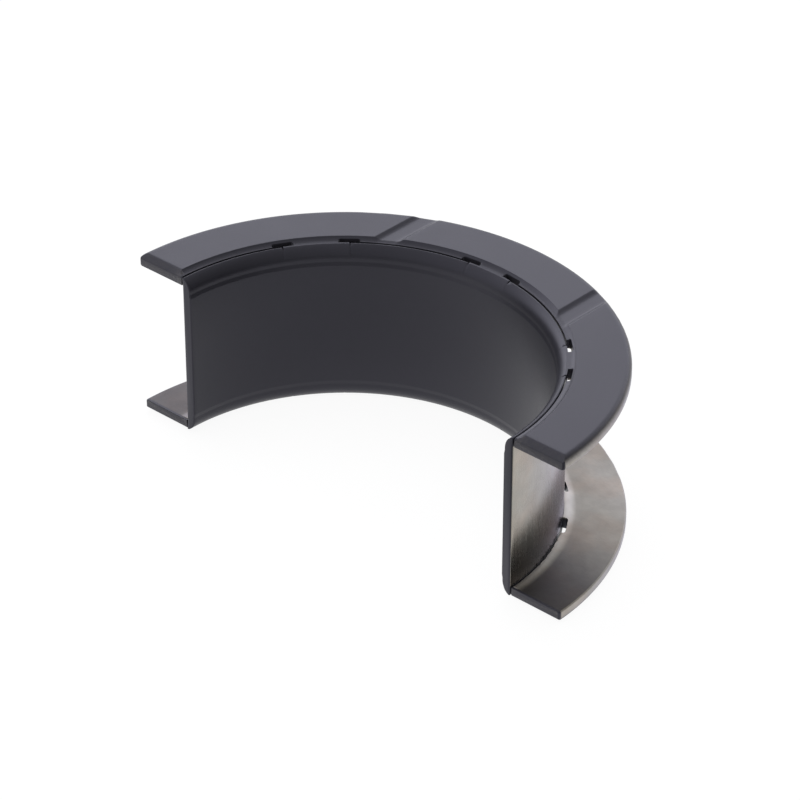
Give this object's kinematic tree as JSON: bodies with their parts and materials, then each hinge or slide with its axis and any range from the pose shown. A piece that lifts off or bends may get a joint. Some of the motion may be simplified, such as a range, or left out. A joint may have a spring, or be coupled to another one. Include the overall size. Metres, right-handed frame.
{
  "type": "flanged main bearing half shell",
  "caption": "Half-round engine main bearing shell with a loose half-ring thrust flange clinched to each end, dark coated running faces and a bare steel back.",
  "frame": {"origin": "on the bore axis, in the parting plane, at half length", "axes": "+Z along the bore axis, +Y from the parting plane towards the crown, +X along the parting plane"},
  "size_m": [0.112, 0.056, 0.0372],
  "materials": {
    "shell_metal": "dark satin coat on the bore and joint faces, bare brushed steel on the back",
    "flange_metal": "dark satin coat on the thrust face, bare steel on the inner face and rim"
  },
  "bodies": {
    "root": {"half_shell": "shell_metal", "upper_thrust_flange": "flange_metal", "lower_thrust_flange": "flange_metal"}
  },
  "joints": []
}
